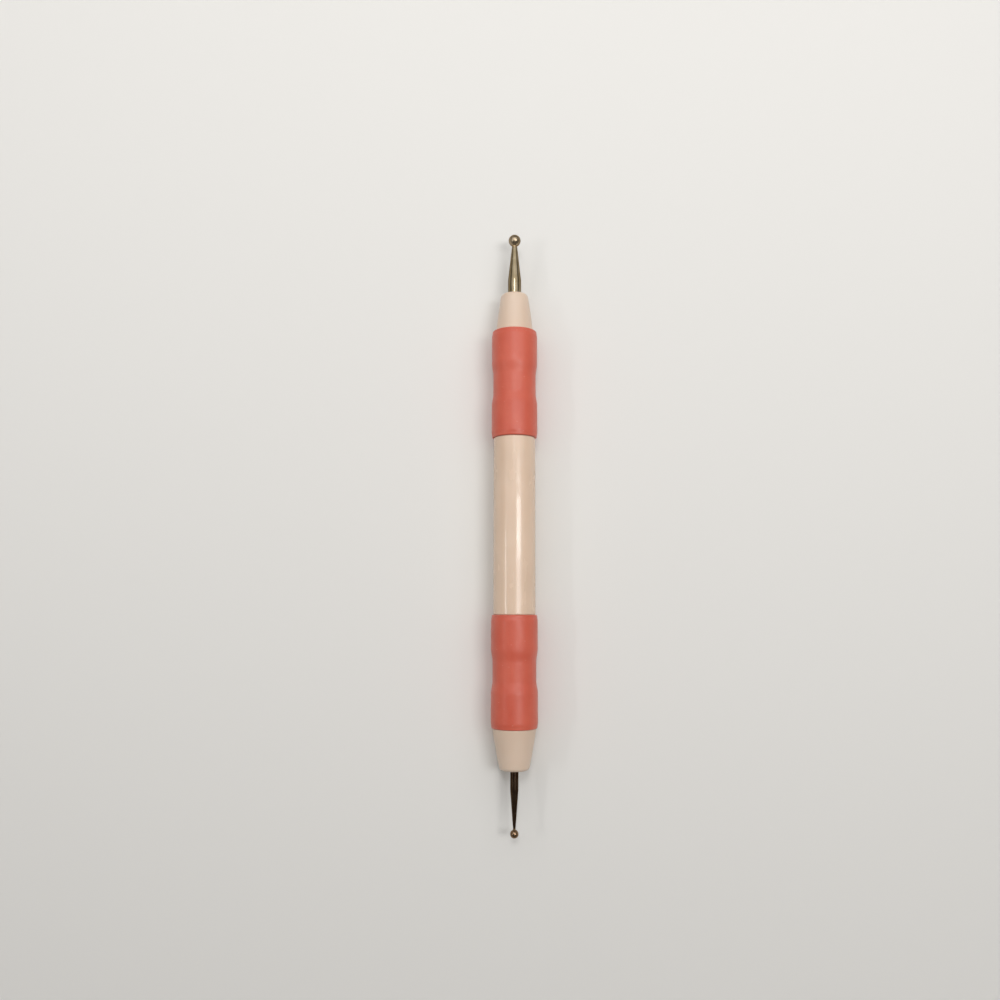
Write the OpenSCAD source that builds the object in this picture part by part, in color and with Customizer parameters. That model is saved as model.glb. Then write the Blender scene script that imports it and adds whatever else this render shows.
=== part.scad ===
// Double-ended embossing stylus. A moulded barrel carries a soft sleeve grip on each end,
// a tapered nose is plugged into each end of its bore, and a turned steel shank with a
// brazed ball is pressed into each nose. It lies along Y on the plane z = 0, with its
// middle over the origin and the larger ball at +Y.

/* [Barrel] */
// Diameter of the barrel where it shows between the grips
barrel_d = 10.9; // [10:0.1:11.4]
// Length of the barrel that shows between the grips
barrel_len = 46; // [30:1:80]
// Rounding of the edge where the barrel meets each grip
barrel_edge_r = 0.25; // [0.1:0.05:0.5]
// Diameter of the bore that runs right through the barrel
bore_d = 6.2; // [5.2:0.1:7]
// Diameter of the spigots that carry the grips
spigot_d = 8.8; // [8:0.1:9.4]
// How far each spigot stops short of the outer end of its grip
spigot_setback = 0.3; // [0.1:0.1:2]
// Chamfer on the inner and outer edges of each spigot's end
spigot_chamfer = 0.3; // [0.1:0.05:0.5]

/* [Grips] */
// Length of each grip
grip_len = 28.5; // [24:0.5:40]
// Diameter of the two straight bands on each grip
band_d = 12; // [11.8:0.1:13]
// Diameter of the waist between the bands
waist_d = 11.2; // [10.6:0.1:11.8]
// Length of the straight floor of the waist
waist_len = 4.4; // [2:0.2:8]
// Length of each slope between the waist and a band
waist_slope_len = 3.6; // [1:0.1:4.5]
// Diameter of each end of a grip
grip_end_d = 11.7; // [11:0.1:11.8]
// Length of the swell from each end up to its band
end_swell_len = 1.6; // [1:0.1:3]
// Rounding of the lip at each end
lip_r = 0.3; // [0.1:0.05:0.6]

/* [Noses] */
// Length of each nose that shows beyond its grip
nose_len = 10.4; // [8:0.1:16]
// Diameter of the medium nose where it seats on its grip, inside the grip's lip
medium_nose_base_d = 9.8; // [9.6:0.1:11]
// Diameter of the medium nose where its taper ends
medium_nose_tip_d = 7.3; // [6.5:0.1:8]
// Diameter of the small nose where it seats on its grip, almost flush with it
small_nose_base_d = 11.2; // [10.5:0.1:11.4]
// Diameter of the small nose where its taper ends
small_nose_tip_d = 7.8; // [7:0.1:9]
// How far the side of a nose swells out from a straight taper
nose_bulge = 0.05; // [0:0.05:0.4]
// Rounding of the front edge
nose_edge_r = 1.1; // [0.4:0.1:1.5]
// Length of the stem that plugs into the barrel
stem_len = 12; // [8:0.5:20]
// Chamfer on the end of the stem
stem_chamfer = 0.6; // [0.2:0.1:1]
// Thickness of plastic left behind the shank's hole
hole_floor = 6; // [2:0.5:10]

/* [Tips] */
// Distance from the front of a nose to the far side of its ball
tip_reach = 16.6; // [14:0.1:22]
// Height of the shoulder by which each shank seats on its nose
shoulder_h = 0.2; // [0.1:0.05:0.3]
// Chamfer on the end of each shank's tail
tail_chamfer = 0.3; // [0.1:0.05:0.4]
// Radius of the braze fillet between each neck and its ball
braze_r = 0.25; // [0.1:0.05:0.4]
// Diameter of the medium ball
medium_ball_d = 3.2; // [2.6:0.1:4]
// Diameter of the medium shank
medium_shank_d = 3.45; // [3:0.05:4]
// Diameter of the medium shank's neck, behind the ball
medium_neck_d = 1.35; // [1:0.05:1.8]
// Length of the medium shank's straight part beyond the nose
medium_straight_len = 4; // [2:0.1:7]
// Diameter of the small ball
small_ball_d = 2.1; // [1.6:0.1:2.4]
// Diameter of the small shank
small_shank_d = 2.05; // [1.7:0.05:2.5]
// Diameter of the small shank's neck, behind the ball
small_neck_d = 0.6; // [0.4:0.05:0.9]
// Length of the small shank's straight part beyond the nose
small_straight_len = 4.8; // [2:0.1:7]

/* [Fits] */
// Radial gap of each pressed fit, of a stem in the bore and of a shank in its nose
press_gap = 0.02; // [0.01:0.005:0.05]
// Radial gap between a grip and its spigot
sleeve_gap = 0.04; // [0.02:0.01:0.1]
// Space between the end of each tail and the bottom of its hole
tail_gap = 0.5; // [0.2:0.1:1]

/* [Hidden] */

$fn = 96;
curve_steps = 10;
// How far a braze fillet's arc dips into its ball, so that it ends on the ball's surface
braze_sink = 0.05;
plastic = "#E4CCB6";
soft_rubber = "#CE6450";
steel = "#A3967F";

// Heights along the stylus, measured from the middle of the barrel
grip_seat_z = barrel_len / 2;
nose_seat_z = grip_seat_z + grip_len;
nose_front_z = nose_seat_z + nose_len;
hole_depth = nose_len + stem_len - hole_floor;
axis_height = band_d / 2;

// Points of a round corner, from angle a to angle b
function corner(centre, r, a, b) =
    [for (i = [0:curve_steps]) let (t = a + (b - a) * i / curve_steps)
        centre + r * [cos(t), sin(t)]];

// Points of a smooth change of radius, level at both ends
function swell(r_a, r_b, z_a, z_b) =
    [for (i = [0:curve_steps]) let (t = i / curve_steps)
        [r_a + (r_b - r_a) * (1 - cos(180 * t)) / 2, z_a + (z_b - z_a) * t]];

// Points of a side that bows out from a straight line between two points
function bow(p, q, rise) =
    [for (i = [0:curve_steps]) let (t = i / curve_steps)
        p * (1 - t) + q * t + [4 * rise * t * (1 - t), 0]];

// Stretches of outline joined end to end, with shared end points kept once
function joined(stretches) =
    let (all = [for (stretch = stretches) for (p = stretch) p])
    [for (i = [0:len(all) - 1]) if (i == 0 || norm(all[i] - all[max(i - 1, 0)]) > 0.001) all[i]];

// The same outline mirrored in z, run backwards so that it carries on from the first
function mirrored(points) =
    [for (i = [len(points) - 1:-1:0]) [points[i].x, -points[i].y]];

// Lays a turned piece along the stylus, with its own +Z towards the medium or the small end
module toward_medium() {
    translate([0, 0, axis_height]) rotate([-90, 0, 0]) children();
}

module toward_small() {
    translate([0, 0, axis_height]) rotate([90, 0, 0]) children();
}

// A moulded tube, thick between the grips and reduced to a spigot under each of them
module barrel() {
    end_z = nose_seat_z - spigot_setback;
    half = joined([
        corner([barrel_d / 2 - barrel_edge_r, grip_seat_z - barrel_edge_r], barrel_edge_r, 0, 90),
        [[spigot_d / 2, grip_seat_z]],
        [[spigot_d / 2, end_z - spigot_chamfer], [spigot_d / 2 - spigot_chamfer, end_z]],
        [[bore_d / 2 + spigot_chamfer, end_z], [bore_d / 2, end_z - spigot_chamfer]]
    ]);
    color(plastic)
        toward_medium() rotate_extrude() polygon(concat(half, mirrored(half)));
}

// A rubber sleeve with a band near each end and a waist between them
module grip() {
    middle = grip_len / 2;
    end_r = grip_end_d / 2;
    half = joined([
        [[spigot_d / 2 + sleeve_gap, middle]],
        corner([end_r - lip_r, middle - lip_r], lip_r, 90, 0),
        swell(end_r, band_d / 2, middle - lip_r, middle - end_swell_len),
        swell(band_d / 2, waist_d / 2, waist_len / 2 + waist_slope_len, waist_len / 2)
    ]);
    color(soft_rubber)
        translate([0, 0, grip_seat_z + middle])
            rotate_extrude() polygon(concat(half, mirrored(half)));
}

// A tapered plug with a shouldered head, a stem for the bore and a hole for the shank's tail
module nose(base_d, tip_d, shank_d) {
    stem_r = bore_d / 2 - press_gap;
    hole_r = shank_d / 2 - shoulder_h + press_gap;
    lean = atan(((base_d - tip_d) / 2 + 4 * nose_bulge) / (nose_len - nose_edge_r));
    edge_centre = [tip_d / 2 - nose_edge_r * cos(lean), nose_len - nose_edge_r];
    edge_start = edge_centre + nose_edge_r * [cos(lean), sin(lean)];
    outline = joined([
        [[0, -stem_len], [stem_r - stem_chamfer, -stem_len], [stem_r, stem_chamfer - stem_len]],
        [[stem_r, 0]],
        bow([base_d / 2, 0], edge_start, nose_bulge),
        corner(edge_centre, nose_edge_r, lean, 90),
        [[hole_r, nose_len], [hole_r, nose_len - hole_depth], [0, nose_len - hole_depth]]
    ]);
    color(plastic)
        translate([0, 0, nose_seat_z]) rotate_extrude() polygon(outline);
}

// A turned pin with a thinner tail in the nose, straight where it leaves the nose, tapered to
// a neck and cupped for the ball, with the braze drawn as the neck's flare onto the ball
module shank(shank_d, neck_d, straight_len, ball_d) {
    shank_r = shank_d / 2;
    tail_r = shank_r - shoulder_h;
    tail_z = tail_gap - hole_depth;
    ball_z = tip_reach - ball_d / 2;
    fillet_r = neck_d / 2 + braze_r;
    fillet_drop = sqrt(pow(ball_d / 2 + braze_r - braze_sink, 2) - pow(fillet_r, 2));
    outline = joined([
        [[0, tail_z], [tail_r - tail_chamfer, tail_z], [tail_r, tail_z + tail_chamfer]],
        [[tail_r, 0], [shank_r, 0], [shank_r, straight_len]],
        corner([fillet_r, ball_z - fillet_drop], braze_r, 180, 180 - atan(fillet_drop / fillet_r)),
        [[0, ball_z]]
    ]);
    color(steel)
        translate([0, 0, nose_front_z])
            difference() {
                rotate_extrude() polygon(outline);
                translate([0, 0, ball_z]) sphere(d = ball_d);
            }
}

// A polished ball, brazed into the cup of its shank
module ball(ball_d) {
    color(steel)
        translate([0, 0, nose_front_z + tip_reach - ball_d / 2]) sphere(d = ball_d);
}

module medium_grip() {
    toward_medium() grip();
}

module medium_nose() {
    toward_medium() nose(medium_nose_base_d, medium_nose_tip_d, medium_shank_d);
}

module medium_shank() {
    toward_medium()
        shank(medium_shank_d, medium_neck_d, medium_straight_len, medium_ball_d);
}

module medium_ball() {
    toward_medium() ball(medium_ball_d);
}

module small_grip() {
    toward_small() grip();
}

module small_nose() {
    toward_small() nose(small_nose_base_d, small_nose_tip_d, small_shank_d);
}

module small_shank() {
    toward_small()
        shank(small_shank_d, small_neck_d, small_straight_len, small_ball_d);
}

module small_ball() {
    toward_small() ball(small_ball_d);
}

barrel();
medium_grip();
medium_nose();
medium_shank();
medium_ball();
small_grip();
small_nose();
small_shank();
small_ball();
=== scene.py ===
"""Dresses a double-ended embossing stylus and sets it in a plain studio.

The stylus lies along Y on the plane z = 0, with its larger ball at +Y. Lengths are in metres,
written as millimetres times MM. Seats and outside sizes are read from the frame, and the sizes
that the frame can't give stand as fields of the class of the piece that has them.
"""
import logging
import math
from dataclasses import dataclass, field
from enum import Enum

import bmesh
import bpy
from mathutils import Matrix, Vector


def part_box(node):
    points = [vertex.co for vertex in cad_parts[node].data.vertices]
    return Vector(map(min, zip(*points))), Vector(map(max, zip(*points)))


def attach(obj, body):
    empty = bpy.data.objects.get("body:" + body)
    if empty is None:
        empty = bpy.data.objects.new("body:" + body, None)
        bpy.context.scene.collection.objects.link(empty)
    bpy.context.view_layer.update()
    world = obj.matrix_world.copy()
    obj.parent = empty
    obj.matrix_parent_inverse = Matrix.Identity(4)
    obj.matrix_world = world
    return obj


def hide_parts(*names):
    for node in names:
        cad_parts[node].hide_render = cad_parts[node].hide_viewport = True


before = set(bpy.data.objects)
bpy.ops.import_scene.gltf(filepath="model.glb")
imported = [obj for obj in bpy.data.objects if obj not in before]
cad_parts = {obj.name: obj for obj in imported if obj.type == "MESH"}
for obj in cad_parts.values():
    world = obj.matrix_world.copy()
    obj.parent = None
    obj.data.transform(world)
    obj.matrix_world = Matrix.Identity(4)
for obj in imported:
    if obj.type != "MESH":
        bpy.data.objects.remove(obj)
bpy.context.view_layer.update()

MM = 0.001
# How far the widest skins stay inside the CAD model's box
INSET = 0.002 * MM
# Points of a mesh that lie closer together than this become one
WELD = MM / 1000
BODY = "root"
# The attribute that tells which points of an outline lie on the skin
SKIN = "skin"
log = logging.getLogger("stylus")

Socket = bpy.types.NodeSocket
Point = tuple[float, float]
Place = tuple[float, float, float]


class End(Enum):
    """The two ends of the stylus, each named for its ball, with the sign of its side of Y."""

    MEDIUM = 1
    SMALL = -1

    @property
    def prefix(self) -> str:
        """The first word of the names of this end's pieces."""
        return self.name.lower()

    def span(self, node: str) -> Point:
        """Where a node of this end starts and stops, measured outwards from the middle.

        Args:
            node: the CAD node's name without its prefix.

        Returns:
            The distances of its inner and outer limit from the middle of the stylus.
        """
        low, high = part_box(f"{self.prefix}_{node}")
        return tuple(sorted((low.y * self.value, high.y * self.value)))


def linear(code: str) -> tuple[float, float, float, float]:
    """Turns an sRGB colour into the linear one that the renderer works in.

    Args:
        code: the colour as six hex digits after a #.

    Returns:
        Red, green, blue and an alpha of 1.
    """
    channels = [int(code[i:i + 2], 16) / 255 for i in (1, 3, 5)]
    levels = [c / 12.92 if c <= 0.04045 else ((c + 0.055) / 1.055) ** 2.4 for c in channels]
    return (*levels, 1.0)


def add_node(
    tree: bpy.types.NodeTree, kind: str, inputs: dict | None = None, **settings: object,
) -> bpy.types.Node:
    """Adds a node to a tree, with its settings and links.

    Args:
        tree: the material's or the modifier's node tree.
        kind: the node's type.
        inputs: for each input, by name or place, a value or the output that feeds it.
        settings: the node's own properties.

    Returns:
        The new node.
    """
    node = tree.nodes.new(kind)
    for name, value in settings.items():
        setattr(node, name, value)
    for key, value in (inputs or {}).items():
        if isinstance(value, Socket):
            tree.links.new(value, node.inputs[key])
        else:
            node.inputs[key].default_value = value
    return node


@dataclass
class Outline:
    """The half section of a turned piece, run once round its solid.

    A point is on the skin where a hand can reach it, and off it inside a bore or under another
    piece.

    Attributes:
        points: for each point, its radius and its place along the stylus.
        skin: for each point, 1 where it is on the skin and 0 where it isn't.
        on_skin: whether the points that are added next are on the skin.
    """

    points: list[Point] = field(default_factory=list)
    skin: list[float] = field(default_factory=list)
    on_skin: bool = True

    def at(self, radius: float, along: float) -> "Outline":
        """Adds one point and returns the outline."""
        self.points.append((radius, along))
        self.skin.append(float(self.on_skin))
        return self

    def line(self, radius: float, along: float, step: float) -> "Outline":
        """Runs straight to a point.

        Args:
            radius: the radius at the line's end.
            along: the place along the stylus of its end.
            step: the longest distance between two rings of the mesh.

        Returns:
            The outline.
        """
        from_radius, from_along = self.points[-1]
        count = max(1, math.ceil(math.hypot(radius - from_radius, along - from_along) / step))
        for i in range(1, count + 1):
            t = i / count
            self.at(from_radius + (radius - from_radius) * t, from_along + (along - from_along) * t)
        return self

    def arc(
        self, centre: Point, radius: float, start: float, stop: float, count: int = 10,
    ) -> "Outline":
        """Runs round a circle.

        Args:
            centre: the circle's centre.
            radius: its radius.
            start: the first angle in degrees, with 0 away from the axis and 90 outwards along it.
            stop: the last angle in degrees.
            count: how many steps the arc takes.

        Returns:
            The outline.
        """
        for i in range(count + 1):
            angle = math.radians(start + (stop - start) * i / count)
            self.at(centre[0] + radius * math.cos(angle), centre[1] + radius * math.sin(angle))
        return self

    def swell(self, radius: float, along: float, count: int = 16) -> "Outline":
        """Changes the radius smoothly, level with the axis at both ends.

        Args:
            radius: the radius at the end of the swell.
            along: the place along the stylus of its end.
            count: how many steps it takes.

        Returns:
            The outline.
        """
        from_radius, from_along = self.points[-1]
        for i in range(1, count + 1):
            t = i / count
            rise = (1 - math.cos(math.pi * t)) / 2
            self.at(
                from_radius + (radius - from_radius) * rise,
                from_along + (along - from_along) * t,
            )
        return self

    def bow(self, radius: float, along: float, rise: float, count: int = 24) -> "Outline":
        """Runs to a point on a side that bulges away from the axis.

        Args:
            radius: the radius at the end.
            along: the place along the stylus of the end.
            rise: how far the middle of the side stands out from a straight line.
            count: how many steps it takes.

        Returns:
            The outline.
        """
        from_radius, from_along = self.points[-1]
        for i in range(1, count + 1):
            t = i / count
            bulge = 4 * rise * t * (1 - t)
            self.at(
                from_radius + (radius - from_radius) * t + bulge,
                from_along + (along - from_along) * t,
            )
        return self

    def under(self) -> "Outline":
        """Goes on off the skin, inside a bore or under another piece."""
        self.on_skin = False
        return self

    def shown(self) -> "Outline":
        """Goes on where a hand can reach."""
        self.on_skin = True
        return self

    def mirrored(self) -> "Outline":
        """Adds the mirror image of the run in reverse, and comes back to the first point."""
        self.points += [(radius, -along) for radius, along in reversed(self.points)]
        self.skin += list(reversed(self.skin))
        return self.closed()

    def closed(self) -> "Outline":
        """Comes back to the first point."""
        self.points.append(self.points[0])
        self.skin.append(self.skin[0])
        return self


@dataclass(frozen=True)
class Turning:
    """How a half section is turned about the stylus's axis.

    Attributes:
        sides: how many steps the turn takes.
        unevenness: how far at most the skin dips where the wall sank as it cooled.
        dip_length: how far apart such dips lie.
        seed: picks the pattern of the dips.
        ridge: how far the line where the mould's halves met stands out.
        ridge_width: how far that line reaches to each side.
        ridge_turn: how far the line is turned from level, in degrees.
    """

    sides: int = 192
    unevenness: float = 0.0
    dip_length: float = 9 * MM
    seed: float = 1.0
    ridge: float = 0.0
    ridge_width: float = 0.3 * MM
    ridge_turn: float = 38.0


class Lathe:
    """Turns half sections into closed solids about the stylus's axis, with one node tree."""

    # Edges that bend by more than this many degrees stay sharp
    SHARPEST = 32.0
    SOCKETS = (
        ("Sides", "NodeSocketInt"),
        ("Axis Height", "NodeSocketFloat"),
        ("Unevenness", "NodeSocketFloat"),
        ("Dip Length", "NodeSocketFloat"),
        ("Seed", "NodeSocketFloat"),
        ("Ridge", "NodeSocketFloat"),
        ("Ridge Width", "NodeSocketFloat"),
        ("Ridge Turn", "NodeSocketFloat"),
        ("Finish", "NodeSocketMaterial"),
    )

    def __init__(self) -> None:
        """Reads the height of the axis from the barrel and builds the tree."""
        low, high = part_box("barrel")
        self.axis_height = (low.z + high.z) / 2
        self.tree = bpy.data.node_groups.new("turn_about_axis", "GeometryNodeTree")
        self.tree.interface.new_socket("Outline", in_out="INPUT", socket_type="NodeSocketGeometry")
        for name, kind in self.SOCKETS:
            self.tree.interface.new_socket(name, in_out="INPUT", socket_type=kind)
        self.tree.interface.new_socket("Piece", in_out="OUTPUT", socket_type="NodeSocketGeometry")
        self._fill_tree()

    def _fill_tree(self) -> None:
        """Adds the nodes that wrap a grid round the axis, one ring for each point of the outline.

        Each row below is a node. It gives the name that later rows use for its result, its kind,
        the output that holds the result, its inputs, as values or as names, and its settings.
        """
        maths = "ShaderNodeMath"
        combine = "ShaderNodeCombineXYZ"
        sample = "GeometryNodeSampleIndex"
        ring = {"Geometry": "Outline", "Index": "ring"}
        rows = (
            ("rings", "GeometryNodeAttributeDomainSize", "Point Count", {"Geometry": "Outline"}, {}),
            ("columns", maths, 0, {0: "Sides", 1: 1.0}, {"operation": "ADD"}),
            (
                "grid", "GeometryNodeMeshGrid", "Mesh",
                {"Vertices X": "columns", "Vertices Y": "rings"}, {},
            ),
            ("index", "GeometryNodeInputIndex", "Index", {}, {}),
            ("ring", maths, 0, {0: "index", 1: "rings"}, {"operation": "FLOORED_MODULO"}),
            ("mid index", maths, 0, {0: "index", 1: 0.5}, {"operation": "ADD"}),
            ("share", maths, 0, {0: "mid index", 1: "rings"}, {"operation": "DIVIDE"}),
            ("side", maths, 0, {0: "share"}, {"operation": "FLOOR"}),
            # The half section's own points, with the flag that says which of them are on the skin
            ("place", "GeometryNodeInputPosition", "Position", {}, {}),
            ("sampled", sample, "Value", ring | {"Value": "place"}, {"data_type": "FLOAT_VECTOR"}),
            (
                "flag", "GeometryNodeInputNamedAttribute", "Attribute",
                {"Name": SKIN}, {"data_type": "FLOAT"},
            ),
            ("on skin", sample, "Value", ring | {"Value": "flag"}, {"data_type": "FLOAT"}),
            ("section", "ShaderNodeSeparateXYZ", "X", {"Vector": "sampled"}, {}),
            ("along", "ShaderNodeSeparateXYZ", "Y", {"Vector": "sampled"}, {}),
            # The last column lies on the first, so merging the two closes the turn
            ("step", maths, 0, {0: "side", 1: "Sides"}, {"operation": "DIVIDE"}),
            ("turn", maths, 0, {0: "step", 1: 2 * math.pi}, {"operation": "MULTIPLY"}),
            ("cosine", maths, 0, {0: "turn"}, {"operation": "COSINE"}),
            ("sine", maths, 0, {0: "turn"}, {"operation": "SINE"}),
            # The wall sank in soft dips as it cooled
            ("round x", maths, 0, {0: "section", 1: "cosine"}, {"operation": "MULTIPLY"}),
            ("round z", maths, 0, {0: "section", 1: "sine"}, {"operation": "MULTIPLY"}),
            ("round", combine, "Vector", {"X": "round x", "Y": "along", "Z": "round z"}, {}),
            ("dip scale", maths, 0, {0: 1.0, 1: "Dip Length"}, {"operation": "DIVIDE"}),
            (
                "dips", "ShaderNodeTexNoise", "Fac",
                {"Vector": "round", "W": "Seed", "Scale": "dip scale", "Detail": 1.0},
                {"noise_dimensions": "4D"},
            ),
            ("dip", maths, 0, {0: "dips", 1: "Unevenness"}, {"operation": "MULTIPLY"}),
            # The mould's two halves met in a plane through the axis, and left a line on each side
            ("from plane", maths, 0, {0: "turn", 1: "Ridge Turn"}, {"operation": "SUBTRACT"}),
            ("slant", maths, 0, {0: "from plane"}, {"operation": "SINE"}),
            ("off plane", maths, 0, {0: "slant"}, {"operation": "ABSOLUTE"}),
            ("off ridge", maths, 0, {0: "off plane", 1: "section"}, {"operation": "MULTIPLY"}),
            ("widths off", maths, 0, {0: "off ridge", 1: "Ridge Width"}, {"operation": "DIVIDE"}),
            (
                "crest", maths, 0,
                {0: 1.0, 1: "widths off"}, {"operation": "SUBTRACT", "use_clamp": True},
            ),
            ("rise", maths, 0, {0: "crest", 1: "Ridge"}, {"operation": "MULTIPLY"}),
            # Dips and line move only the skin, so that fits inside the tool stay true
            ("lift", maths, 0, {0: "rise", 1: "dip"}, {"operation": "SUBTRACT"}),
            ("skin lift", maths, 0, {0: "lift", 1: "on skin"}, {"operation": "MULTIPLY"}),
            ("radius", maths, 0, {0: "section", 1: "skin lift"}, {"operation": "ADD"}),
            ("x", maths, 0, {0: "radius", 1: "cosine"}, {"operation": "MULTIPLY"}),
            ("up", maths, 0, {0: "radius", 1: "sine"}, {"operation": "MULTIPLY"}),
            ("z", maths, 0, {0: "up", 1: "Axis Height"}, {"operation": "ADD"}),
            ("wrapped", combine, "Vector", {"X": "x", "Y": "along", "Z": "z"}, {}),
            (
                "shell", "GeometryNodeSetPosition", "Geometry",
                {"Geometry": "grid", "Position": "wrapped"}, {},
            ),
            (
                "whole", "GeometryNodeMergeByDistance", "Geometry",
                {"Geometry": "shell", "Distance": WELD}, {},
            ),
            ("real", "GeometryNodeRealizeInstances", "Geometry", {"Geometry": "whole"}, {}),
            (
                "dressed", "GeometryNodeSetMaterial", "Geometry",
                {"Geometry": "real", "Material": "Finish"}, {},
            ),
        )
        made = {socket.name: socket for socket in add_node(self.tree, "NodeGroupInput").outputs}
        for name, kind, output, inputs, settings in rows:
            linked = {key: made.get(value, value) for key, value in inputs.items()}
            made[name] = add_node(self.tree, kind, linked, **settings).outputs[output]
        add_node(self.tree, "NodeGroupOutput", {"Piece": made["dressed"]})

    def turn(
        self,
        name: str,
        outline: Outline,
        turning: Turning,
        finish: bpy.types.Material,
        end: End = End.MEDIUM,
    ) -> bpy.types.Object:
        """Turns an outline into a finished piece.

        Args:
            name: the piece's name.
            outline: its half section.
            turning: how it is turned.
            finish: its material.
            end: the end of the stylus that it belongs to.

        Returns:
            The piece, at the origin, with its place in its mesh.
        """
        wire = bpy.data.meshes.new(f"{name}_outline")
        places = [(radius, along * end.value, 0.0) for radius, along in outline.points]
        wire.from_pydata(places, [(i, i + 1) for i in range(len(places) - 1)], [])
        wire.attributes.new(SKIN, "FLOAT", "POINT").data.foreach_set("value", outline.skin)
        host = bpy.data.objects.new(f"{name}_host", wire)
        bpy.context.scene.collection.objects.link(host)

        modifier = host.modifiers.new("Turn", "NODES")
        modifier.node_group = self.tree
        values = {
            "Sides": turning.sides,
            "Axis Height": self.axis_height,
            "Unevenness": turning.unevenness,
            "Dip Length": turning.dip_length,
            "Seed": turning.seed,
            "Ridge": turning.ridge,
            "Ridge Width": turning.ridge_width,
            "Ridge Turn": math.radians(turning.ridge_turn),
            "Finish": finish,
        }
        for item in self.tree.interface.items_tree:
            if item.in_out == "INPUT" and item.name in values:
                modifier[item.identifier] = values[item.name]

        evaluated = host.evaluated_get(bpy.context.evaluated_depsgraph_get())
        baked = bpy.data.meshes.new_from_object(evaluated)
        host.modifiers.remove(modifier)
        bpy.data.objects.remove(host)
        bpy.data.meshes.remove(wire)
        self._close(baked)
        piece = bpy.data.objects.new(name, baked)
        bpy.context.scene.collection.objects.link(piece)
        return piece

    @staticmethod
    def _close(mesh: bpy.types.Mesh) -> None:
        """Points a closed mesh's faces outwards and smooths all but its real edges.

        Args:
            mesh: the turned mesh, whose seam and poles are already merged.
        """
        work = bmesh.new()
        work.from_mesh(mesh)
        bmesh.ops.dissolve_degenerate(work, edges=work.edges, dist=WELD)
        bmesh.ops.recalc_face_normals(work, faces=work.faces)
        if work.calc_volume(signed=True) < 0:
            bmesh.ops.reverse_faces(work, faces=work.faces)
        work.to_mesh(mesh)
        work.free()
        mesh.shade_smooth()
        mesh.set_sharp_from_angle(angle=math.radians(Lathe.SHARPEST))


@dataclass(frozen=True)
class Finish:
    """What every surface of the stylus has.

    Attributes:
        name: the material's name.
        colour: its main colour.
        shade: the colour to which it goes in places.
    """

    name: str
    colour: str
    shade: str

    def start(self) -> tuple[bpy.types.Material, bpy.types.NodeTree, Socket]:
        """Opens an empty material.

        Returns:
            The material, its tree, and the output that gives a point's place in the piece.
        """
        material = bpy.data.materials.new(self.name)
        material.use_nodes = True
        tree = material.node_tree
        tree.nodes.clear()
        place = add_node(tree, "ShaderNodeTexCoord").outputs["Object"]
        return material, tree, place

    def finish(self, material: bpy.types.Material, shader: Socket) -> bpy.types.Material:
        """Closes a material with its shader, sets its colour in plain views and returns it."""
        add_node(material.node_tree, "ShaderNodeOutputMaterial", {"Surface": shader})
        material.diffuse_color = linear(self.colour)
        return material


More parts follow.
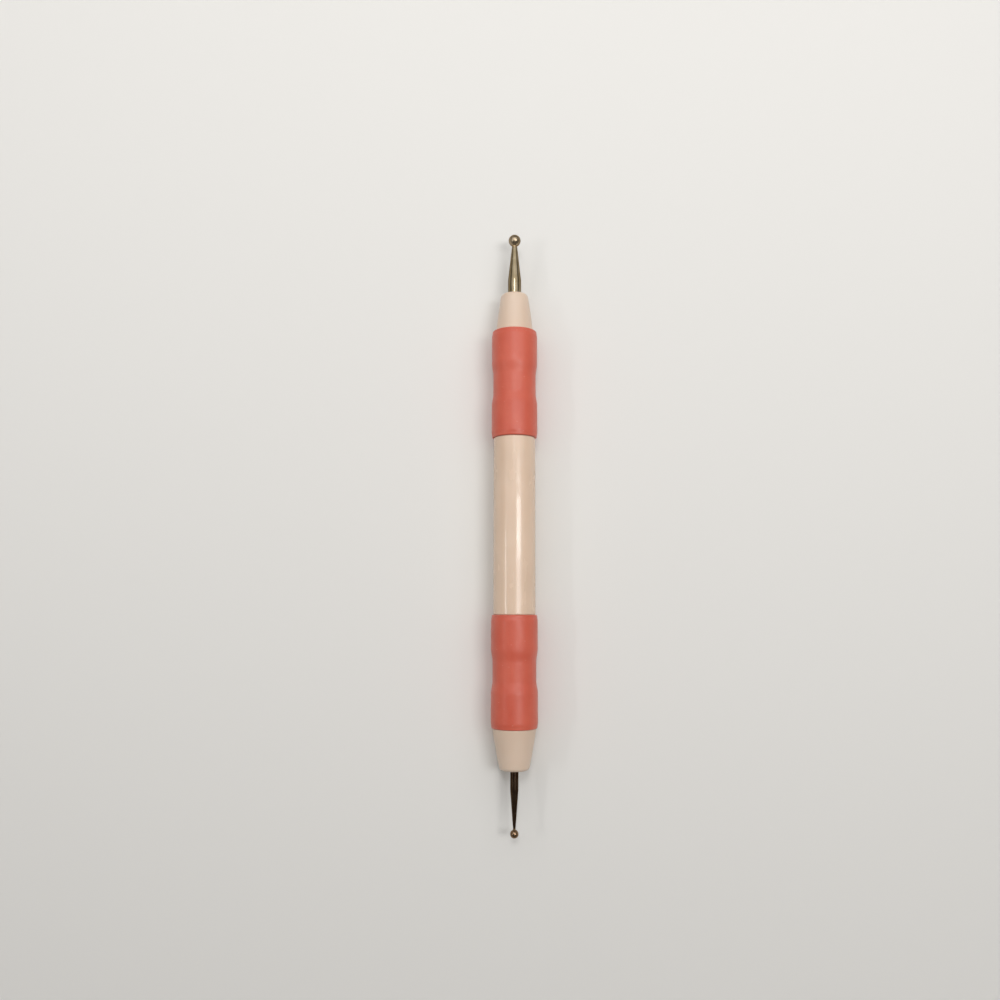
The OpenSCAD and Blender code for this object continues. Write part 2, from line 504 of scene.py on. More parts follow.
@dataclass(frozen=True)
class MouldedPlastic(Finish):
    """Injection-moulded ABS, glossy from a polished mould and slightly see-into at its edges.

    Attributes:
        seam: the distance from the middle of the stylus at which the seam is darkened on both ends.
        dirt: the colour of the seam's painted shade and soiling.
        dirt_reach: how far the darkening spreads from the seam where it reaches least and most.
        dirt_patch: how far apart the patches lie where the darkening reaches further.
        cloud: how far apart the warmer clouds in the white lie.
        smudge: how far apart the dull marks of handling lie.
        flow: how long the marks are that the melt left along the piece.
        flow_width: how wide these marks are.
        gloss: the roughness of the glossiest and of the dullest parts.
        grain: the spacing of the mould's fine grain, drawn coarse enough to show.
        grain_depth: how deep that grain is.
        sink: how deep the hollows are that the eye sees only in the reflections.
        sink_length: how far apart these hollows lie.
    """

    seam: float
    # The darker seam colour is painted shade in the seam, with some soiling
    dirt: str = "#B79F8C"
    dirt_reach: Point = (0.15 * MM, 0.7 * MM)
    dirt_patch: float = 1.2 * MM
    cloud: float = 11 * MM
    smudge: float = 5 * MM
    flow: float = 30 * MM
    flow_width: float = 2 * MM
    gloss: Point = (0.1, 0.3)
    grain: float = 0.5 * MM
    grain_depth: float = 0.004 * MM
    sink: float = 0.08 * MM
    sink_length: float = 4 * MM

    def material(self) -> bpy.types.Material:
        """Builds the warm white plastic of the barrel and noses."""
        material, tree, place = self.start()

        # The melt cooled unevenly, which the eye sees as faint warmer clouds in the white
        clouds = add_node(
            tree, "ShaderNodeTexNoise", {"Vector": place, "Scale": 1 / self.cloud, "Detail": 2.0},
        ).outputs["Fac"]
        cloud = add_node(
            tree, "ShaderNodeMapRange",
            {"Value": clouds, "From Min": 0.35, "From Max": 0.7, "To Max": 0.5},
        ).outputs["Result"]
        base = add_node(
            tree, "ShaderNodeMix",
            {"Factor": cloud, "A": linear(self.colour), "B": linear(self.shade)},
            data_type="RGBA",
        ).outputs["Result"]

        # A line less than a millimetre wide is darkened where another piece begins: painted shade in
        # the seam, with some soiling
        along = add_node(tree, "ShaderNodeSeparateXYZ", {"Vector": place}).outputs["Y"]
        far = add_node(tree, "ShaderNodeMath", {0: along}, operation="ABSOLUTE").outputs[0]
        gap = add_node(tree, "ShaderNodeMath", {0: far, 1: self.seam}, operation="SUBTRACT").outputs[0]
        near = add_node(tree, "ShaderNodeMath", {0: gap}, operation="ABSOLUTE").outputs[0]
        patches = add_node(
            tree, "ShaderNodeTexNoise",
            {"Vector": place, "Scale": 1 / self.dirt_patch, "Detail": 3.0},
        ).outputs["Fac"]
        least, most = self.dirt_reach
        reach = add_node(
            tree, "ShaderNodeMapRange",
            {"Value": patches, "From Min": 0.3, "From Max": 0.7, "To Min": least, "To Max": most},
        ).outputs["Result"]
        dirt = add_node(
            tree, "ShaderNodeMapRange",
            {"Value": near, "From Min": 0.0, "From Max": reach, "To Min": 0.4, "To Max": 0.0},
            interpolation_type="SMOOTHSTEP",
        ).outputs["Result"]
        seam_shaded_and_dirty = add_node(
            tree, "ShaderNodeMix", {"Factor": dirt, "A": base, "B": linear(self.dirt)},
            data_type="RGBA",
        ).outputs["Result"]

        # Handling leaves dull smudges, and the melt's flow leaves long faint streaks of gloss
        smudges = add_node(
            tree, "ShaderNodeTexNoise", {"Vector": place, "Scale": 1 / self.smudge, "Detail": 5.0},
        ).outputs["Fac"]
        across = 1 / self.flow_width
        stretched = add_node(
            tree, "ShaderNodeMapping", {"Vector": place, "Scale": (across, 1 / self.flow, across)},
        ).outputs["Vector"]
        streaks = add_node(
            tree, "ShaderNodeTexNoise", {"Vector": stretched, "Scale": 1.0, "Detail": 3.0},
        ).outputs["Fac"]
        mixed = add_node(tree, "ShaderNodeMath", {0: smudges, 1: streaks}, operation="ADD").outputs[0]
        glossiest, dullest = self.gloss
        gloss = add_node(
            tree, "ShaderNodeMapRange",
            {
                "Value": mixed, "From Min": 0.7, "From Max": 1.35,
                "To Min": glossiest, "To Max": dullest,
            },
            interpolation_type="SMOOTHSTEP",
        ).outputs["Result"]

        # The polished mould still has a fine grain, which softens the edges of the highlights
        grain = add_node(
            tree, "ShaderNodeTexNoise", {"Vector": place, "Scale": 1 / self.grain, "Detail": 2.0},
        ).outputs["Fac"]
        relief = add_node(
            tree, "ShaderNodeBump",
            {"Height": grain, "Strength": 0.4, "Distance": self.grain_depth},
        ).outputs["Normal"]

        # The wall sank unevenly as it cooled, so the streak of light along it wavers and swells
        sinks = add_node(
            tree, "ShaderNodeTexNoise",
            {"Vector": place, "Scale": 1 / self.sink_length, "Detail": 0.0},
        ).outputs["Fac"]
        waves = add_node(
            tree, "ShaderNodeBump",
            {"Height": sinks, "Strength": 0.9, "Distance": self.sink, "Normal": relief},
        ).outputs["Normal"]
        shader = add_node(
            tree, "ShaderNodeBsdfPrincipled",
            {
                "Base Color": seam_shaded_and_dirty,
                "Roughness": gloss,
                "IOR": 1.52,
                "Subsurface Weight": 0.12,
                "Subsurface Radius": (1.0, 0.7, 0.5),
                "Subsurface Scale": 0.8 * MM,
                "Normal": waves,
            },
        )
        return self.finish(material, shader.outputs["BSDF"])


@dataclass(frozen=True)
class SleeveRubber(Finish):
    """Thermoplastic rubber moulded as a sleeve, satin where it left the mould and dulled by hands.

    Attributes:
        patch: how far apart the deeper patches of pigment lie.
        speck_gap: how far apart the specks of dust lie.
        dust: the colour of the dust.
        rub: how far apart the places lie that hands have dulled.
        gloss: the roughness of the glossiest and of the dullest parts.
        grain: the spacing of the mould's fine grain, drawn coarse enough to show.
        grain_depth: how deep that grain is.
        softness: how deep the hollows are over the patches.
    """

    patch: float = 7 * MM
    speck_gap: float = 1.6 * MM
    dust: str = "#EBC3B6"
    rub: float = 3.2 * MM
    gloss: Point = (0.36, 0.5)
    grain: float = 0.45 * MM
    grain_depth: float = 0.035 * MM
    softness: float = 0.05 * MM

    def material(self) -> bpy.types.Material:
        """Builds the coral pink rubber of the grips."""
        material, tree, place = self.start()

        # The pigment isn't quite even, which the eye sees as soft deeper patches
        patches = add_node(
            tree, "ShaderNodeTexNoise", {"Vector": place, "Scale": 1 / self.patch, "Detail": 3.0},
        ).outputs["Fac"]
        depth = add_node(
            tree, "ShaderNodeMapRange",
            {"Value": patches, "From Min": 0.3, "From Max": 0.72, "To Max": 0.6},
        ).outputs["Result"]
        pigment = add_node(
            tree, "ShaderNodeMix",
            {"Factor": depth, "A": linear(self.colour), "B": linear(self.shade)},
            data_type="RGBA",
        ).outputs["Result"]

        # Rubber holds fine pale dust, in specks about 0.2 mm across
        specks = add_node(
            tree, "ShaderNodeTexVoronoi", {"Vector": place, "Scale": 1 / self.speck_gap},
        ).outputs["Distance"]
        dust = add_node(
            tree, "ShaderNodeMapRange",
            {"Value": specks, "From Min": 0.035, "From Max": 0.075, "To Min": 0.35, "To Max": 0.0},
        ).outputs["Result"]
        dusty = add_node(
            tree, "ShaderNodeMix", {"Factor": dust, "A": pigment, "B": linear(self.dust)},
            data_type="RGBA",
        ).outputs["Result"]

        # Hands dull it in patches a few millimetres across
        rubbed = add_node(
            tree, "ShaderNodeTexNoise", {"Vector": place, "Scale": 1 / self.rub, "Detail": 4.0},
        ).outputs["Fac"]
        glossiest, dullest = self.gloss
        gloss = add_node(
            tree, "ShaderNodeMapRange",
            {
                "Value": rubbed, "From Min": 0.32, "From Max": 0.7,
                "To Min": glossiest, "To Max": dullest,
            },
        ).outputs["Result"]

        # The mould's wall had a fine grain, and the rubber gives a little, so no highlight is sharp
        fine = add_node(
            tree, "ShaderNodeTexNoise", {"Vector": place, "Scale": 1 / self.grain, "Detail": 2.0},
        ).outputs["Fac"]
        relief = add_node(
            tree, "ShaderNodeBump",
            {"Height": fine, "Strength": 0.7, "Distance": self.grain_depth},
        ).outputs["Normal"]
        soft = add_node(
            tree, "ShaderNodeBump",
            {"Height": patches, "Strength": 0.5, "Distance": self.softness, "Normal": relief},
        ).outputs["Normal"]
        shader = add_node(
            tree, "ShaderNodeBsdfPrincipled",
            {
                "Base Color": dusty,
                "Roughness": gloss,
                "IOR": 1.5,
                "Subsurface Weight": 0.15,
                "Subsurface Radius": (1.0, 0.35, 0.25),
                "Subsurface Scale": 1.2 * MM,
                "Sheen Weight": 0.08,
                "Sheen Roughness": 0.5,
                "Normal": soft,
            },
        )
        return self.finish(material, shader.outputs["BSDF"])


@dataclass(frozen=True)
class PlatedSteel(Finish):
    """Steel with a thin nickel plate, which is warmer and darker than chrome.

    Attributes:
        marks: the spacing of the marks that the cutting tool left round the pin, or 0 for a
            ball, which is ground. Real marks are finer, and are drawn coarse enough to show.
        mark_depth: how deep these marks are.
        gloss: the roughness of the brightest and of the dullest parts.
        cloud: how far apart the clouds of tarnish lie.
        wear: how far apart the worn spots lie.
        wear_depth: how deep the worn spots are.
        edge_tint: the colour of the plate where it is seen edge on.
        braze: the colour of the braze, and how far from the ball it starts and is full.
        seat_shade: the colour of the painted shade at the nose, and how far from the nose it ends and
            is full.
    """

    marks: float = 0.35 * MM
    mark_depth: float = 0.003 * MM
    gloss: Point = (0.18, 0.28)
    cloud: float = 2.6 * MM
    wear: float = 1.1 * MM
    wear_depth: float = 0.01 * MM
    edge_tint: str = "#6B5333"
    braze: tuple[str, float, float] = ("#A48A68", 0.9 * MM, 0.1 * MM)
    # The dark line where the shank leaves its nose is painted shade
    seat_shade: tuple[str, float, float] = ("#2E241A", 0.45 * MM, 0.05 * MM)

    def material(self, seat: float = 0.0, neck: float = 0.0) -> bpy.types.Material:
        """Builds the plate, with painted shade where a shank leaves its nose and braze at its ball.

        Args:
            seat: the distance from the middle at which the shank leaves its nose.
            neck: the distance from the middle at which it meets its ball, or 0 for a ball.

        Returns:
            The material.
        """
        material, tree, place = self.start()

        # Thin plate tarnishes in clouds, so it goes from grey to a warmer straw
        clouds = add_node(
            tree, "ShaderNodeTexNoise", {"Vector": place, "Scale": 1 / self.cloud, "Detail": 3.0},
        ).outputs["Fac"]
        tarnish = add_node(
            tree, "ShaderNodeMapRange", {"Value": clouds, "From Min": 0.3, "From Max": 0.75},
        ).outputs["Result"]
        plate = add_node(
            tree, "ShaderNodeMix",
            {"Factor": tarnish, "A": linear(self.colour), "B": linear(self.shade)},
            data_type="RGBA",
        ).outputs["Result"]
        if neck:
            # Braze leaves a brass-coloured collar at the ball, and a dark line of painted shade marks
            # where the shank leaves its nose
            along = add_node(tree, "ShaderNodeSeparateXYZ", {"Vector": place}).outputs["Y"]
            far = add_node(tree, "ShaderNodeMath", {0: along}, operation="ABSOLUTE").outputs[0]
            braze, braze_start, braze_full = self.braze
            seat_shade, seat_shade_end, seat_shade_full = self.seat_shade
            for colour, none_at, full_at in (
                (braze, neck - braze_start, neck - braze_full),
                (seat_shade, seat + seat_shade_end, seat + seat_shade_full),
            ):
                braze_and_shade_mask = add_node(
                    tree, "ShaderNodeMapRange",
                    {"Value": far, "From Min": none_at, "From Max": full_at, "To Max": 0.6},
                    interpolation_type="SMOOTHSTEP",
                ).outputs["Result"]
                plate = add_node(
                    tree, "ShaderNodeMix", {"Factor": braze_and_shade_mask, "A": plate, "B": linear(colour)},
                    data_type="RGBA",
                ).outputs["Result"]

        # Use wears the plate in small spots, which the eye sees as uneven gloss
        wear = add_node(
            tree, "ShaderNodeTexNoise", {"Vector": place, "Scale": 1 / self.wear, "Detail": 3.0},
        ).outputs["Fac"]
        brightest, dullest = self.gloss
        gloss = add_node(
            tree, "ShaderNodeMapRange",
            {
                "Value": wear, "From Min": 0.3, "From Max": 0.75,
                "To Min": brightest, "To Max": dullest,
            },
        ).outputs["Result"]
        relief = add_node(
            tree, "ShaderNodeBump", {"Height": wear, "Strength": 0.2, "Distance": self.wear_depth},
        ).outputs["Normal"]
        if self.marks:
            # The cutting tool left fine rings, which spread each highlight along the pin. At a
            # scale of 1 the texture has a band for each pi / 10 metres
            wave_scale = math.pi / (10 * self.marks)
            rings = add_node(
                tree, "ShaderNodeTexWave",
                {"Vector": place, "Scale": wave_scale, "Distortion": 1.0, "Detail": 2.0},
                wave_type="BANDS", bands_direction="Y",
            ).outputs["Fac"]
            relief = add_node(
                tree, "ShaderNodeBump",
                {"Height": rings, "Strength": 0.12, "Distance": self.mark_depth, "Normal": relief},
            ).outputs["Normal"]
        shader = add_node(
            tree, "ShaderNodeBsdfPrincipled",
            {
                "Base Color": plate,
                "Metallic": 1.0,
                "Roughness": gloss,
                # Thin plate over steel is darker and more golden where it is seen edge on
                "Specular Tint": linear(self.edge_tint),
                "Normal": relief,
            },
        )
        return self.finish(material, shader.outputs["BSDF"])


def place_piece(piece: bpy.types.Object, node: str) -> None:
    """Fixes a finished piece to the model in place of its CAD node, and reports it.

    Args:
        piece: the finished piece.
        node: the CAD node that it stands for.
    """
    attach(piece, BODY)
    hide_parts(node)
    log.info("%s: %d faces, stands for %s", piece.name, len(piece.data.polygons), node)


@dataclass
class Barrel:
    """The white tube, full size between the grips and thinner where it carries them.

    Attributes:
        edge_r: the rounding of the edge where a grip begins.
        bore_d: the diameter of the bore.
        spigot_d: the diameter of the spigots that carry the grips.
        spigot_chamfer: the chamfer on each spigot's end.
        ring_step: the longest distance between two rings of the mesh.
        turning: how it is turned.
    """

    edge_r: float = 0.25 * MM
    bore_d: float = 6.2 * MM
    spigot_d: float = 8.8 * MM
    spigot_chamfer: float = 0.3 * MM
    ring_step: float = 0.8 * MM
    turning: Turning = Turning(unevenness=0.03 * MM, dip_length=14 * MM, ridge=0.02 * MM)

    def outline(self) -> Outline:
        """Draws the half section, from the middle of the skin outwards and back in the bore."""
        low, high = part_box("barrel")
        skin_r = (high.x - low.x) / 2 - INSET
        seat = End.MEDIUM.span("grip")[0]
        bore_r = self.bore_d / 2
        spigot_r = self.spigot_d / 2
        chamfer = self.spigot_chamfer

        outline = Outline().at(skin_r, 0.0).line(skin_r, seat - self.edge_r, self.ring_step)
        outline.arc((skin_r - self.edge_r, seat - self.edge_r), self.edge_r, 0, 90)
        outline.under().at(spigot_r, seat)
        outline.at(spigot_r, high.y - chamfer).at(spigot_r - chamfer, high.y)
        outline.at(bore_r + chamfer, high.y).at(bore_r, high.y - chamfer)
        return outline.mirrored()

    def build(self, lathe: Lathe) -> None:
        """Turns the barrel and puts it in place."""
        seam = End.MEDIUM.span("grip")[0]
        finish = MouldedPlastic(
            "moulded_abs_barrel", "#E7CCB4", "#DDC0A7", seam=seam, smudge=8 * MM,
        )
        piece = lathe.turn("barrel_tube", self.outline(), self.turning, finish.material())
        place_piece(piece, "barrel")


@dataclass
class SleeveGrip:
    """A rubber sleeve with a rounded lip and a band at each end, and a waist between them.

    Attributes:
        end: the end of the stylus that it is on.
        waist_d: the diameter of the waist.
        waist_len: the length of the waist's straight floor.
        slope_len: the length of each slope between the waist and a band.
        end_d: the diameter of each end.
        swell_len: the length from each end over which it swells up to its band.
        lip_r: the rounding of the lip at each end.
        bore_d: the diameter of the bore.
        ring_step: the longest distance between two rings of the mesh.
        turning: how it is turned.
    """

    end: End
    waist_d: float = 11.2 * MM
    waist_len: float = 4.4 * MM
    slope_len: float = 3.6 * MM
    end_d: float = 11.7 * MM
    swell_len: float = 1.6 * MM
    lip_r: float = 0.3 * MM
    bore_d: float = 8.88 * MM
    ring_step: float = 0.5 * MM
    turning: Turning = Turning(
        unevenness=0.015 * MM, dip_length=8 * MM, ridge=0.02 * MM, ridge_width=0.35 * MM,
    )

    def outline(self) -> Outline:
        """Draws the half section, from the bore over the outer lip and back over the inner one."""
        low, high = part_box(f"{self.end.prefix}_grip")
        inner, outer = self.end.span("grip")
        middle = (inner + outer) / 2
        half = (outer - inner) / 2
        band_r = (high.x - low.x) / 2 - INSET
        end_r = self.end_d / 2
        waist_r = self.waist_d / 2
        slope_start = self.waist_len / 2 + self.slope_len
        lip_at = end_r - self.lip_r

        outline = Outline().under().at(self.bore_d / 2, half).line(lip_at, half, self.ring_step)
        outline.shown().arc((lip_at, half - self.lip_r), self.lip_r, 90, 0)
        outline.swell(band_r, half - self.swell_len).line(band_r, slope_start, self.ring_step)
        outline.swell(waist_r, self.waist_len / 2).line(waist_r, 0.0, self.ring_step)
        outline.mirrored()
        outline.points = [(radius, middle + along) for radius, along in outline.points]
        return outline

    def build(self, lathe: Lathe, rubber: bpy.types.Material) -> None:
        """Turns the sleeve and puts it in place."""
        name = f"{self.end.prefix}_grip"
        piece = lathe.turn(f"{name}_sleeve", self.outline(), self.turning, rubber, self.end)
        place_piece(piece, name)


@dataclass
class Nose:
    """A tapered white plug with a stem in the barrel and a hole for the shank's tail.

    Attributes:
        end: the end of the stylus that it is on.
        tail_d: the diameter of the tail that goes into its hole.
        tip_d: the diameter where its taper ends.
        bulge: how far its side stands out from a straight taper.
        edge_r: the rounding of its front edge.
        stem_d: the diameter of its stem.
        stem_chamfer: the chamfer on the stem's end.
        base_edge_r: the rounding of the edge that seats on the grip.
        hole_gap: the radial gap round the tail, and how far from the hole the skin ends.
        hole_floor: how much plastic is left behind the hole.
        ring_step: the longest distance between two rings of the front face.
        turning: how it is turned.
    """

    end: End
    tail_d: float
    tip_d: float
    bulge: float = 0.05 * MM
    edge_r: float = 1.1 * MM
    stem_d: float = 6.16 * MM
    stem_chamfer: float = 0.6 * MM
    base_edge_r: float = 0.12 * MM
    hole_gap: float = 0.02 * MM
    hole_floor: float = 6 * MM
    ring_step: float = 0.3 * MM
    turning: Turning = Turning(unevenness=0.02 * MM, dip_length=6 * MM, ridge=0.02 * MM)

    def outline(self) -> Outline:
        """Draws the half section, from the stem's end over the head to the bottom of the hole."""
        name = f"{self.end.prefix}_nose"
        low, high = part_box(name)
        stem_end, front = self.end.span("nose")
        seat = self.end.span("grip")[1]
        base_r = (high.x - low.x) / 2 - INSET
        edge_along = front - self.edge_r
        lean = math.atan((base_r - self.tip_d / 2 + 4 * self.bulge) / (edge_along - seat))
        centre = (self.tip_d / 2 - self.edge_r * math.cos(lean), edge_along)
        hole_r = self.tail_d / 2 + self.hole_gap
        hole_end = stem_end + self.hole_floor
        stem_r = self.stem_d / 2
        base_edge_at = base_r - self.base_edge_r
        base_centre = (base_edge_at, seat + self.base_edge_r)

        outline = Outline().under().at(0.0, stem_end).at(stem_r - self.stem_chamfer, stem_end)
        outline.at(stem_r, stem_end + self.stem_chamfer).at(stem_r, seat).at(base_edge_at, seat)
        outline.shown().arc(base_centre, self.base_edge_r, -90, 0, count=5)
        outline.bow(self.tip_d / 2, edge_along + self.edge_r * math.sin(lean), self.bulge)
        outline.arc(centre, self.edge_r, math.degrees(lean), 90, count=14)
        outline.line(hole_r + self.hole_gap, front, self.ring_step)
        return outline.under().at(hole_r, front).at(hole_r, hole_end).at(0.0, hole_end)

    def build(self, lathe: Lathe, plastic: bpy.types.Material) -> None:
        """Turns the nose and puts it in place."""
        name = f"{self.end.prefix}_nose"
        piece = lathe.turn(f"{name}_plug", self.outline(), self.turning, plastic, self.end)
        place_piece(piece, name)


@dataclass
class Tip:
    """A turned shank with its ball brazed on.

    Attributes:
        end: the end of the stylus that it is on.
        neck_d: the diameter of the neck behind the ball.
        straight_len: the length of the shank's straight part beyond the nose.
        colour: the colour of the shank's plate.
        tarnish: the colour to which that plate goes.
        ball_colour: the colour of the ball's plate.
        ball_tarnish: the colour to which that plate goes.
        ball_gloss: the roughness of the ball's brightest and of its dullest parts.
        shoulder_h: the height of the shoulder that seats on the nose.
        tail_chamfer: the chamfer on the tail's end.
        braze_r: the radius of the braze fillet between neck and ball.
        braze_sink: how far the fillet's arc dips into the ball, so that it ends on its surface.
        ring_step: the longest distance between two rings of the straight part and the cone.
        turning: how it is turned.
    """

    end: End
    neck_d: float
    straight_len: float
    colour: str = "#A89B82"
    tarnish: str = "#8F7E5F"
    ball_colour: str = "#B5A48C"
    ball_tarnish: str = "#9A886E"
    ball_gloss: Point = (0.25, 0.34)
    shoulder_h: float = 0.2 * MM
    tail_chamfer: float = 0.3 * MM
    braze_r: float = 0.25 * MM
    braze_sink: float = 0.05 * MM
    ring_step: float = 0.4 * MM
    turning: Turning = Turning(sides=128)

    @property
    def ball_d(self) -> float:
        """The ball's diameter."""
        low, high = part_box(f"{self.end.prefix}_ball")
        return high.x - low.x

    @property
    def ball_along(self) -> float:
        """The distance of the ball's centre from the middle of the stylus."""
        return sum(self.end.span("ball")) / 2

    @property
    def shank_d(self) -> float:
        """The diameter of the straight part of the shank."""
        low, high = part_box(f"{self.end.prefix}_shank")
        return high.x - low.x

    def shank_outline(self) -> Outline:
        """Draws the half section of the shank, from its tail to the cup for the ball."""
        tail_end = self.end.span("shank")[0]
        seat = self.end.span("nose")[1]
        shank_r = self.shank_d / 2
        tail_r = shank_r - self.shoulder_h
        neck_r = self.neck_d / 2
        ball_r = self.ball_d / 2
        fillet_r = neck_r + self.braze_r
        reach = ball_r + self.braze_r - self.braze_sink
        fillet_along = self.ball_along - math.sqrt(reach ** 2 - fillet_r ** 2)
        meet = 180 - math.degrees(math.acos(fillet_r / reach))
        cone_start = seat + self.straight_len

        outline = Outline().under().at(0.0, tail_end).at(tail_r - self.tail_chamfer, tail_end)
        outline.at(tail_r, tail_end + self.tail_chamfer).at(tail_r, seat)
        outline.shown().at(shank_r, seat).line(shank_r, cone_start, self.ring_step)
        outline.line(neck_r, fillet_along, self.ring_step)
        outline.arc((fillet_r, fillet_along), self.braze_r, 180, meet, count=12)
        cup_angle = math.degrees(math.asin(min(1.0, outline.points[-1][0] / ball_r)))
        return outline.arc((0.0, self.ball_along), ball_r, -90 + cup_angle, -90, count=12)

    def ball_outline(self) -> Outline:
        """Draws the half section of the ball, from the pole at the shank to the outer one."""
        return Outline().arc((0.0, self.ball_along), self.ball_d / 2, -90, 90, count=64)

    def build(self, lathe: Lathe) -> None:
        """Turns the shank and the ball and puts them in place."""
        name = f"{self.end.prefix}_shank"
        plated = PlatedSteel(f"nickel_plated_{name}", self.colour, self.tarnish)
        steel = plated.material(self.end.span("nose")[1], self.ball_along - self.ball_d / 2)
        shank = lathe.turn(f"{name}_pin", self.shank_outline(), self.turning, steel, self.end)
        place_piece(shank, name)

        name = f"{self.end.prefix}_ball"
        steel = PlatedSteel(
            f"nickel_plated_{name}", self.ball_colour, self.ball_tarnish,
            marks=0.0, gloss=self.ball_gloss,
        ).material()
        ball = lathe.turn(f"{name}_bead", self.ball_outline(), self.turning, steel, self.end)
        place_piece(ball, name)


@dataclass
class Stylus:
    """The whole tool, with the sizes in which its two ends differ.

    Attributes:
        tips: the shank and ball of each end.
        nose_tips: for each end, the diameter where its nose's taper ends.
    """

    tips: tuple[Tip, ...] = field(default_factory=lambda: (
        Tip(End.MEDIUM, neck_d=1.35 * MM, straight_len=4.0 * MM),
        # The small end's shank and ball are the same plate as the medium end's, painted darker:
        # painted shade for the dimmer light and darker reflections at that end
        Tip(
            End.SMALL, neck_d=0.6 * MM, straight_len=4.8 * MM, colour="#5C4939", tarnish="#3F2E23",
            ball_colour="#AC9176", ball_tarnish="#7E634B", ball_gloss=(0.14, 0.22),
        ),
    ))
    nose_tips: dict[End, float] = field(
        default_factory=lambda: {End.MEDIUM: 7.3 * MM, End.SMALL: 7.8 * MM},
    )

    def build(self) -> None:
        """Builds every piece, from the barrel outwards."""
        lathe = Lathe()
        Barrel().build(lathe)
        rubber = SleeveRubber("moulded_tpr_sleeve", "#D6664F", "#C9543F").material()
        # The noses left a duller mould than the barrel did, and are too small to sink much
        plastic = MouldedPlastic(
            "moulded_abs_nose", "#E3CBB6", "#D9BEA7", seam=End.MEDIUM.span("grip")[1],
            smudge=3.5 * MM, flow=12 * MM, gloss=(0.3, 0.42), sink=0.03 * MM,
        ).material()
        for tip in self.tips:
            SleeveGrip(tip.end).build(lathe, rubber)
            tail_d = tip.shank_d - 2 * tip.shoulder_h
            Nose(tip.end, tail_d=tail_d, tip_d=self.nose_tips[tip.end]).build(lathe, plastic)
            tip.build(lathe)


@dataclass(frozen=True)
class Lamp:
    """A soft lamp that lights the stylus and that the camera doesn't see.

    Attributes:
        name: the lamp's name.
        place: where its middle hangs, in metres.
        size: its sizes across and along the stylus, in metres.
        share: how light it alone would make white paper that faces it at the origin, with 1
            for pure white.
    """

    name: str
    place: Place
    size: Point
    share: float

    def hang(self) -> None:
        """Hangs the lamp, turned about Y so that it faces the stylus's axis."""
        light = bpy.data.lights.new(self.name, "AREA")
        light.shape = "RECTANGLE"
        light.size, light.size_y = self.size
        distance = math.dist(self.place, (0.0, 0.0, 0.0))
        # A small lamp of pi squared times this distance squared, in watts, gives a share of 1
        light.energy = self.share * math.pi ** 2 * distance ** 2
        lamp = bpy.data.objects.new(self.name, light)
        bpy.context.scene.collection.objects.link(lamp)
        lamp.location = self.place
        lamp.visible_camera = False
        lamp.rotation_euler = (0.0, math.atan2(self.place[0], self.place[2]), 0.0)


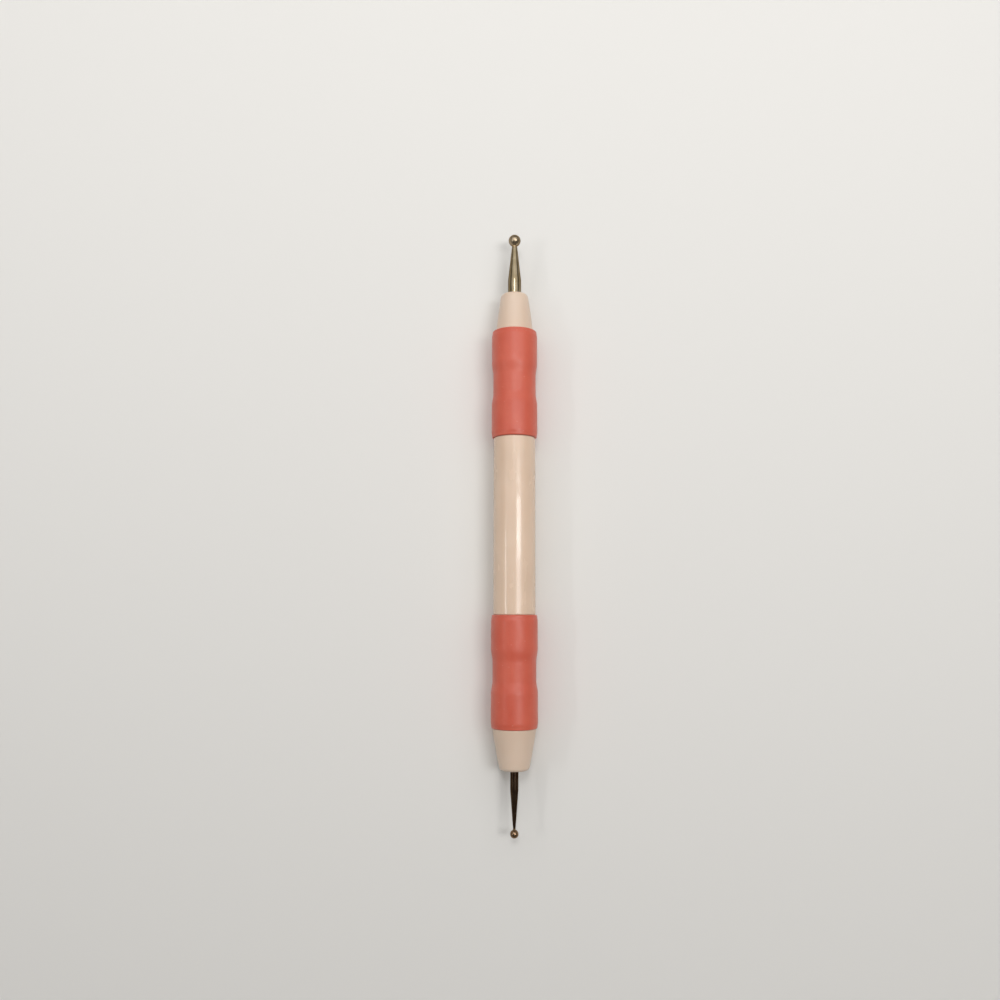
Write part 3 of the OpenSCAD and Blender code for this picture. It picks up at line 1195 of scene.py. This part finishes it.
@dataclass
class Studio:
    """A pale seamless sweep, soft lamps and the camera of the photograph.

    Attributes:
        floor_r: the radius of the flat floor, in metres.
        sweep_r: the radius of the curve between floor and wall, in metres.
        wall_height: the height of the wall above that curve, in metres.
        curve_steps: how many steps that curve takes.
        round_steps: how many steps the floor takes all round.
        paper: the colour of the floor.
        lens_mm: the camera's focal length.
        sensor_mm: the width of its sensor.
        camera_at: where it stands.
        camera_tilt: how far it is tipped from straight down towards +Y, in degrees.
        camera_roll: how far it is turned about Z, in degrees.
        closest: how near to it things may come before they are cut off.
        air: the linear red, green and blue of the light that comes from all round.
        air_strength: how strong that light is, with 1 for pure white.
        lamps: the soft lamps.
    """

    floor_r: float = 1.3
    sweep_r: float = 0.5
    wall_height: float = 0.9
    curve_steps: int = 24
    round_steps: int = 96
    paper: str = "#E9E7E3"
    lens_mm: float = 34.2
    sensor_mm: float = 36.0
    camera_at: Place = (-3.7 * MM, -22.05 * MM, 251.8 * MM)
    camera_tilt: float = 6.67
    camera_roll: float = 0.13
    closest: float = 5 * MM
    air: tuple[float, float, float] = (1.0, 0.985, 0.965)
    air_strength: float = 0.18
    lamps: tuple[Lamp, ...] = (
        Lamp("side_strip", (0.33, 0.01, 0.8), (0.36, 0.2), 0.27),
        Lamp("left_strip", (-0.72, -0.06, 0.62), (0.04, 0.24), 0.06),
        Lamp("far_strip", (-0.03, 0.33, 0.85), (0.13, 0.2), 0.14),
        Lamp("near_panel", (0.0, 0.3, 0.33), (0.86, 0.58), 0.74),
    )

    def sweep(self) -> None:
        """Lays a floor that curves up into a wall all round."""
        profile = [(0.0, 0.0), (self.floor_r, 0.0)]
        for i in range(1, self.curve_steps + 1):
            angle = math.radians(90 * i / self.curve_steps)
            radius = self.floor_r + self.sweep_r * math.sin(angle)
            profile.append((radius, self.sweep_r * (1 - math.cos(angle))))
        profile.append((self.floor_r + self.sweep_r, self.sweep_r + self.wall_height))
        work = bmesh.new()
        line = [work.verts.new((radius, 0.0, height)) for radius, height in profile]
        edges = [work.edges.new(pair) for pair in zip(line, line[1:])]
        bmesh.ops.spin(
            work, geom=line + edges, axis=(0, 0, 1), cent=(0, 0, 0),
            angle=2 * math.pi, steps=self.round_steps, use_merge=True,
        )
        bmesh.ops.remove_doubles(work, verts=work.verts, dist=MM)
        bmesh.ops.recalc_face_normals(work, faces=work.faces)
        mesh = bpy.data.meshes.new("sweep")
        work.to_mesh(mesh)
        work.free()
        mesh.shade_smooth()
        paper = bpy.data.materials.new("matt_paper_sweep")
        paper.use_nodes = True
        tree = paper.node_tree
        tree.nodes.clear()
        matt = add_node(
            tree, "ShaderNodeBsdfPrincipled", {"Base Color": linear(self.paper), "Roughness": 0.9},
        )
        add_node(tree, "ShaderNodeOutputMaterial", {"Surface": matt.outputs["BSDF"]})
        mesh.materials.append(paper)
        floor = bpy.data.objects.new("sweep", mesh)
        bpy.context.scene.collection.objects.link(floor)

    def light(self) -> None:
        """Lights the stylus softly from above, and more strongly at its medium end."""
        world = bpy.data.worlds.new("studio")
        world.use_nodes = True
        world.node_tree.nodes.clear()
        air = add_node(
            world.node_tree, "ShaderNodeBackground",
            {"Color": (*self.air, 1.0), "Strength": self.air_strength},
        )
        add_node(world.node_tree, "ShaderNodeOutputWorld", {"Surface": air.outputs["Background"]})
        bpy.context.scene.world = world
        for lamp in self.lamps:
            lamp.hang()

    def camera(self) -> None:
        """Sets the camera at the photograph's viewing angle, almost straight above."""
        data = bpy.data.cameras.new("camera")
        data.lens = self.lens_mm
        data.sensor_width = self.sensor_mm
        data.clip_start = self.closest
        camera = bpy.data.objects.new("camera", data)
        camera.location = self.camera_at
        tilt, roll = math.radians(self.camera_tilt), math.radians(self.camera_roll)
        camera.rotation_euler = (tilt, 0.0, roll)
        bpy.context.scene.collection.objects.link(camera)
        bpy.context.scene.camera = camera

    def build(self) -> None:
        """Sets up the camera, the sweep and the lamps."""
        self.camera()
        self.sweep()
        self.light()
        bpy.context.scene.view_settings.view_transform = "Standard"


def main() -> None:
    """Builds the studio and the stylus."""
    logging.basicConfig(level=logging.INFO, format="%(message)s")
    Studio().build()
    Stylus().build()


if __name__ == "__main__":
    main()
